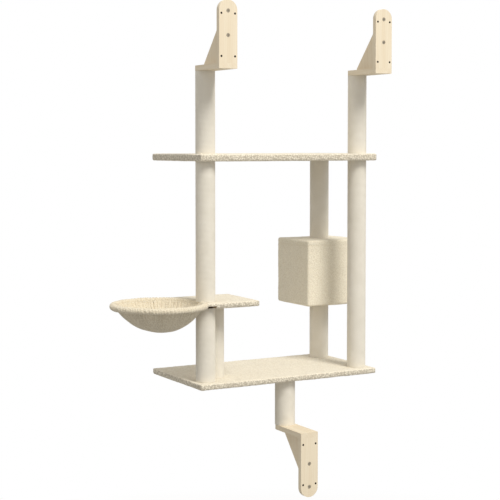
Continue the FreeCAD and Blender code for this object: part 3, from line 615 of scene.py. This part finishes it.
def repeat_turn(rope, turns):
    """Stacks a cord's one turn into a winding of that many turns."""
    stack = rope.modifiers.new("turns", "ARRAY")
    stack.count = turns
    stack.use_relative_offset = False
    stack.use_constant_offset = True
    stack.constant_offset_displace = (0, 0, ROPE_PITCH)
    stack.use_merge_vertices = True
    stack.merge_threshold = TINY
    set_modifiers(rope)


def write_cord_map(bm):
    """U runs along the cord and V across it. Both fit whole strands, so that every turn matches."""
    layer = bm.loops.layers.uv.new("cord")
    for face in bm.faces:
        middle = face.calc_center_median()
        about = math.atan2(middle.y, middle.x) % math.tau
        for loop in face.loops:
            turn = math.atan2(loop.vert.co.y, loop.vert.co.x) % math.tau
            if turn - about > math.pi:
                turn -= math.tau
            if turn - about < -math.pi:
                turn += math.tau
            across = loop.vert.co.z / ROPE_PITCH - turn / math.tau
            loop[layer].uv = (turn * STRANDS / WAVE_FACTOR, across * math.tau / WAVE_FACTOR)


def close_sleeve(bm, centre, inside):
    """Turns the wound surface into a sleeve with an inner wall."""
    rims = [edge for edge in bm.edges if edge.is_boundary]
    made = bmesh.ops.extrude_edge_only(bm, edges=rims)["geom"]
    for vert in made:
        if isinstance(vert, bmesh.types.BMVert):
            flat = Vector((vert.co.x - centre.x, vert.co.y - centre.y))
            flat = flat.normalized() * inside
            vert.co.x, vert.co.y = centre.x + flat.x, centre.y + flat.y
    loops = [item for item in made if isinstance(item, bmesh.types.BMEdge)]
    bmesh.ops.bridge_loops(bm, edges=loops)


# ---------------------------------------------------------------- plush covers

def cover_board(name, recess=None, notch=None):
    """A platform's plush: a soft edged skin round the board. recess gives what is cut from its
    underside, and notch the round bite that leaves room for the hammock."""
    low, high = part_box(name + "_plush")
    bm = block(low, high)
    round_edges(bm, PLATFORM_CORNER, CORNER_STEPS, is_upright)
    cover = add_piece(name + "_cover", bm, BOARD_PLUSH, [name + "_plush"])
    if notch:
        cut_away(cover, [notch(low.z - PAST, high.z + PAST, 0.0)])
    bm = open_mesh(cover)
    round_edges(bm, PLATFORM_EDGE, EDGE_STEPS, is_level_rim)
    close_mesh(bm, cover)
    remesh(cover, COVER_GRAIN)
    rough_up(cover, board_pile)
    board_low, board_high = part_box(name + "_board")
    inner = block(board_low, board_high)
    round_edges(inner, PLATFORM_CORNER - PLUSH, CORNER_STEPS, is_upright)
    hollow = link_mesh("cutter", inner)
    if notch:
        cut_away(hollow, [notch(low.z - PAST, high.z + PAST, PLUSH)])
    bm = open_mesh(hollow)
    bpy.data.objects.remove(hollow)
    cut_away(cover, [bm] + (recess(low, high) if recess else []))
    smooth_faces(cover)


def post_place(post):
    low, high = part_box(post + "_core")
    return (low.x + high.x) / 2, (low.y + high.y) / 2


def bottom_holes(low, high):
    """Seats for the heads of the bolts that come up through the bottom platform."""
    posts = ("right_lower_post", "left_long_post", "condo_lower_post", "inner_post")
    return [plug_of(*post_place(post), low.z - PAST, low.z + PLUSH + TINY, BOLT_SEAT,
                    BOLT_SEAT_SIDES) for post in posts]


def hanger_slot(low, high):
    """The slot under the middle platform, for the steel tab that holds the hammock's ring."""
    tab_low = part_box("hammock_tab")[0]
    corner = Vector((tab_low.x - SLOT_PLAY, tab_low.y - SLOT_PLAY, low.z - PAST))
    return [block(corner, Vector((high.x + PAST, high.y + PAST, low.z + SLOT_DEPTH)))]


def hammock_notch(bottom, top, grown):
    """The middle platform's round bite, a little wider than the hammock's rim."""
    rim_low, rim_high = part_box("hammock_rim")
    centre = hammock_middle()
    radius = (rim_high.y - rim_low.y) / 2 + NOTCH_PLAY + grown
    return plug_of(centre.x, centre.y, bottom, top, radius, NOTCH_SIDES)


# ---------------------------------------------------------------- condo

def cover_condo():
    """The condo's plush: a sewn box, with a seam under its top edge and a round way in."""
    low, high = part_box("condo_plush")
    bm = block(low, high)
    round_edges(bm, CONDO_EDGE, EDGE_STEPS, lambda edge: True)
    cover = add_piece("condo_cover", bm, CONDO_PLUSH, ["condo_plush"])
    middle = (low + high) / 2
    half = (high - low) / 2
    remesh(cover, COVER_GRAIN)

    def loose(place):
        shares = sorted(abs(place[axis] - middle[axis]) / half[axis] for axis in range(3))
        swell = CONDO_SWELL * (1 - shares[0] ** 2) * (1 - shares[1] ** 2)
        wander = SEAM_WANDER * noise.noise(place * 30)
        below_seam = (high.z - CONDO_SEAM - place.z + wander) / SEAM_WIDTH
        seam = -SEAM_DEPTH * math.exp(-below_seam ** 2)
        slack = CONDO_SLACK * (1 + noise.noise(place * 11 + Vector((3, 1, 8))))
        return swell + seam + slack + pile(place)

    rough_up(cover, loose)
    cabin = block(low + Vector((PLUSH,) * 3), high - Vector((PLUSH,) * 3))
    door = plug_of(0, 0, -DOOR_REACH, DOOR_REACH, ENTRANCE / 2, ENTRANCE_SIDES)
    bmesh.ops.rotate(door, verts=door.verts, cent=(0, 0, 0),
                     matrix=Matrix.Rotation(math.radians(90), 3, "X"))
    bmesh.ops.translate(door, verts=door.verts, vec=(middle.x, low.y, middle.z))
    cut_away(cover, [cabin, door])
    smooth_faces(cover)


# ---------------------------------------------------------------- hammock

def hammock_middle():
    """The centre of the steel ring, which the roll and the bowl share."""
    low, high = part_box("hammock_ring")
    return (low + high) / 2


def pad_rim():
    """The gathered plush roll round the steel ring, pressed flatter where the post stands by it."""
    low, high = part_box("hammock_ring")
    centre = hammock_middle()
    radius = (high.y - low.y) / 2 - WIRE_RADIUS
    bm = bmesh.new()
    bmesh.ops.create_circle(bm, segments=ROLL_SIDES, radius=ROLL_RADIUS,
                            matrix=Matrix.Rotation(math.radians(90), 4, "X"))
    bmesh.ops.translate(bm, vec=(radius, 0, 0), verts=bm.verts)
    bmesh.ops.spin(bm, geom=bm.verts[:] + bm.edges[:], cent=(0, 0, 0), axis=(0, 0, 1),
                   dvec=(0, 0, 0), angle=math.tau, steps=ROLL_STEPS, use_merge=True)
    bmesh.ops.remove_doubles(bm, verts=bm.verts, dist=TINY)
    for vert in bm.verts:
        flat = Vector((vert.co.x, vert.co.y, 0)).normalized()
        out = vert.co - flat * radius
        about = math.atan2(vert.co.y, vert.co.x)
        at_post = math.exp(-((math.pi - abs(about)) / POST_REACH) ** 2)
        gather = math.sin(about * GATHERS + 2.2 * math.sin(about * 11) + out.z * 160)
        loose = noise.noise(Vector((math.cos(about) * 9, math.sin(about) * 9, out.z * 60)))
        fullness = (ROLL_FULLNESS + GATHER_SHARE * gather + LOOSE_SHARE * loose
                    - PRESSED_SHARE * at_post)
        lean = flat * ROLL_LEAN + Vector((0, 0, ROLL_LIFT))
        vert.co = flat * radius + out * fullness + lean * (1 - at_post)
    bmesh.ops.translate(bm, vec=centre, verts=bm.verts)
    roll = add_piece("hammock_roll", bm, CREAM_PLUSH, ["hammock_rim"])
    rough_up(roll, pile)


def sew_bowl():
    """The plush bowl, gathered into the roll, with folds that run out towards its bottom."""
    centre = hammock_middle()
    low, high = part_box("hammock_bowl")
    depth = centre.z - low.z
    mouth = (high.y - low.y) / 2
    bend = (mouth ** 2 + depth ** 2) / (2 * depth)
    reach = math.acos((bend - depth) / bend)
    bm = bmesh.new()
    steps = [reach * number / BOWL_RINGS for number in range(BOWL_RINGS + 1)]
    line = [bm.verts.new((bend * math.sin(step), 0, bend - depth - bend * math.cos(step)))
            for step in steps]
    edges = [bm.edges.new(pair) for pair in zip(line, line[1:])]
    bmesh.ops.spin(bm, geom=line + edges, cent=(0, 0, 0), axis=(0, 0, 1), dvec=(0, 0, 0),
                   angle=math.tau, steps=BOWL_STEPS, use_merge=True)
    bmesh.ops.remove_doubles(bm, verts=bm.verts, dist=TINY)
    for vert in bm.verts:
        about = math.atan2(vert.co.y, vert.co.x)
        share = math.hypot(vert.co.x, vert.co.y) / mouth
        run = about * PLEATS + 1.6 * math.sin(about * 11) + math.sin(about * 5 + share * 3)
        depth_here = 0.6 + 0.8 * noise.noise(Vector((math.cos(about) * 6, math.sin(about) * 6, 2)))
        pleat = PLEAT_DEPTH * math.sin(run) * depth_here * share ** 1.8
        crease = CREASE_DEPTH * math.sin(run * 2 + 1.3) * share ** 3
        sway = SWAY * noise.noise(vert.co * 20)
        inward = (Vector((0, 0, bend - depth)) - vert.co).normalized()
        drift = SAG_DRIFT * (1 - share ** 2)
        vert.co += inward * (pleat + crease + sway + BOWL_INSET) + drift
    bmesh.ops.recalc_face_normals(bm, faces=bm.faces)
    bmesh.ops.translate(bm, vec=centre, verts=bm.verts)
    bowl = add_piece("hammock_cloth", bm, CREAM_PLUSH, ["hammock_bowl"])
    wall = bowl.modifiers.new("cloth", "SOLIDIFY")
    wall.thickness = BOWL_CLOTH
    wall.offset = 0
    set_modifiers(bowl)


# ---------------------------------------------------------------- studio

def build_floor():
    bm = bmesh.new()
    bmesh.ops.create_circle(bm, cap_ends=True, segments=96, radius=FLOOR_RADIUS)
    floor = link_mesh("floor", bm)
    floor.data.transform(Matrix.Translation((0, 0, FLOOR_LEVEL)))
    floor.data.materials.append(floor_finish())


def seen_directly(tree):
    """1 for what the camera sees straight, in a mirror or through glass."""
    path = add(tree, "ShaderNodeLightPath")
    seen = math_node(tree, "MAXIMUM", path.outputs["Is Camera Ray"], path.outputs["Is Glossy Ray"])
    return math_node(tree, "MAXIMUM", seen, path.outputs["Is Transmission Ray"])


def floor_finish():
    """Pale matt floor near the object, which fades into the white background. It throws back less
    light than its look, so that undersides stay in shade."""
    finish, tree, shader = new_finish("pale floor")
    set_inputs(shader, Roughness=0.9)
    seen = seen_directly(tree)
    tree.links.new(blend_colours(tree, seen, FLOOR_GLOW, FLOOR_LOOK), shader.inputs["Base Color"])
    place = add(tree, "ShaderNodeTexCoord")
    length = add(tree, "ShaderNodeVectorMath", operation="LENGTH")
    tree.links.new(place.outputs["Object"], length.inputs[0])
    far = ramp(tree, length.outputs["Value"], *FLOOR_FADE)
    white = add(tree, "ShaderNodeEmission")
    mix = add(tree, "ShaderNodeMixShader")
    tree.links.new(math_node(tree, "MULTIPLY", far, seen), mix.inputs[0])
    tree.links.new(shader.outputs[0], mix.inputs[1])
    tree.links.new(white.outputs[0], mix.inputs[2])
    out = tree.nodes["Material Output"]
    tree.links.new(mix.outputs[0], out.inputs["Surface"])
    return finish


def build_world():
    world = bpy.data.worlds.new("studio")
    world.use_nodes = True
    SCENE.world = world
    tree = world.node_tree
    tree.nodes.clear()
    fill = set_inputs(add(tree, "ShaderNodeBackground"), Color=FILL_COLOUR, Strength=FILL_STRENGTH)
    white = set_inputs(add(tree, "ShaderNodeBackground"), Color=(1, 1, 1, 1), Strength=1.0)
    mix = add(tree, "ShaderNodeMixShader")
    out = add(tree, "ShaderNodeOutputWorld")
    tree.links.new(seen_directly(tree), mix.inputs[0])
    tree.links.new(fill.outputs[0], mix.inputs[1])
    tree.links.new(white.outputs[0], mix.inputs[2])
    tree.links.new(mix.outputs[0], out.inputs["Surface"])


def build_lamp():
    lamp = bpy.data.lights.new("key lamp", "AREA")
    lamp.shape = "ELLIPSE"
    lamp.size, lamp.size_y = LAMP_SIZES
    lamp.energy = LAMP_POWER
    lamp.color = LAMP_TINT
    holder = link_object("key lamp", lamp)
    holder.location = LAMP_PLACE
    holder.rotation_euler = (LAMP_AIM - LAMP_PLACE).to_track_quat("-Z", "Y").to_euler()


def build_camera():
    lens = bpy.data.cameras.new("camera")
    lens.sensor_width = SENSOR
    lens.lens = LENS
    lens.shift_y = LENS_SHIFT
    camera = link_object("camera", lens)
    camera.location = CAMERA_PLACE
    level = math.cos(CAMERA_DIP)
    ahead = Vector((-math.sin(CAMERA_TURN) * level, -math.cos(CAMERA_TURN) * level,
                    -math.sin(CAMERA_DIP)))
    camera.rotation_euler = ahead.to_track_quat("-Z", "Y").to_euler()
    SCENE.camera = camera


SCENE.view_settings.view_transform = "Standard"
dress_cad_nodes()
for post_name in POSTS:
    wrap_post(post_name)
cover_board("bottom", bottom_holes)
cover_board("top")
cover_board("middle", hanger_slot, hammock_notch)
cover_condo()
pad_rim()
sew_bowl()
build_floor()
build_world()
build_lamp()
build_camera()
